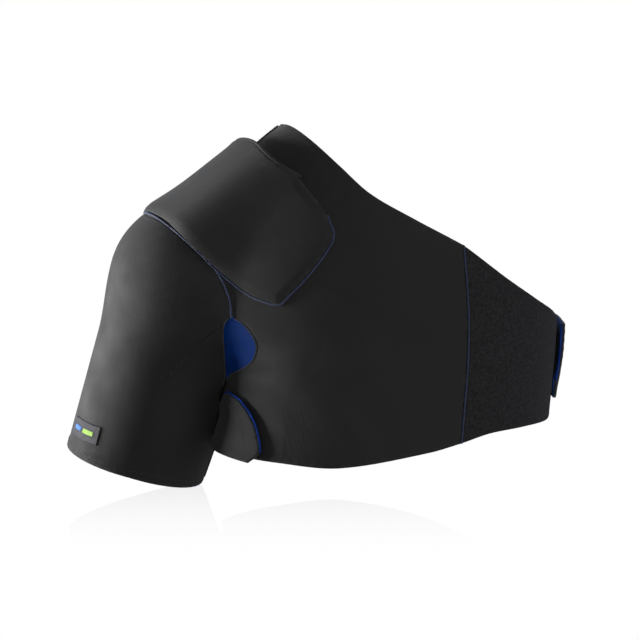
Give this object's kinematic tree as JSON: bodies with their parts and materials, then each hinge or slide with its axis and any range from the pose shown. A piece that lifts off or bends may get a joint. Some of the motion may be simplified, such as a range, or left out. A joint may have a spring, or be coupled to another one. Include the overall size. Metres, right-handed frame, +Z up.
{
  "type": "cold compression wrap",
  "caption": "Soft shoulder wrap with an arm sleeve, chest panel, side strap, under-arm tab and a shoulder pocket that holds a cold gel pack.",
  "frame": {"origin": "middle of the width and depth of the worn wrap, at the level of the sleeve hem's lowest point", "axes": "+Z up, wearer faces -Y, +X towards the wearer's left side"},
  "size_m": [0.4372, 0.231, 0.3175],
  "materials": {
    "wrap_fabric": "matte",
    "loop_fabric": "matte",
    "blue_lining": "satin",
    "blue_trim": "satin",
    "elastic_band": "matte",
    "hook_tape": "matte",
    "thread": "satin",
    "pack_film": "gloss",
    "pack_gel": "gloss",
    "label_cloth": "satin",
    "label_mark": "satin"
  },
  "bodies": {
    "wrap": {"front_panel": "wrap_fabric", "back_panel": "wrap_fabric", "underarm_band": "wrap_fabric", "armpit_gusset": "blue_lining", "loop_panel": "loop_fabric", "pocket_cover": "wrap_fabric", "pocket_mouth_binding": "wrap_fabric", "pocket_seam_thread": "thread", "armhole_seam_thread": "thread", "gusset_seam_thread": "thread", "closure_seam_thread": "thread", "shoulder_seam_thread": "thread", "strap_root_stitching": "thread"},
    "sleeve": {"arm_sleeve": "wrap_fabric", "sleeve_seam_thread": "thread", "cuff_band": "elastic_band", "cuff_hem_stitching": "thread", "sleeve_label": "label_cloth", "label_mark": "label_mark"},
    "strap": {"closure_strap": "wrap_fabric", "strap_hook_patch": "hook_tape", "strap_end_trim": "blue_trim"},
    "tab": {"underarm_tab": "wrap_fabric", "underarm_hook_patch": "hook_tape", "tab_edge_trim": "blue_trim", "tab_stitching": "thread"},
    "gel_pack": {"pack_outer_film": "pack_film", "pack_inner_film": "pack_film", "pack_gel": "pack_gel", "pack_edge_seal": "pack_film"}
  },
  "joints": [
    {"name": "sleeve_raise", "type": "hinge", "parent": "wrap", "child": "sleeve", "pos_m": [-0.1547, 0, 0.2446], "axis": [0, 1, 0], "range_deg": [0, 18]},
    {"name": "strap_open", "type": "hinge", "parent": "wrap", "child": "strap", "pos_m": [0.1503, 0.0992, 0.112], "axis": [0, 0, 1], "range_deg": [0, 95]},
    {"name": "tab_open", "type": "hinge", "parent": "wrap", "child": "tab", "pos_m": [-0.0865, -0.041, 0.058], "axis": [-0.28, 0, -0.96], "range_deg": [0, 20]},
    {"name": "pack_slide", "type": "slide", "parent": "wrap", "child": "gel_pack", "axis": [0.788, 0, 0.6157], "range_m": [0, 0.1]}
  ]
}
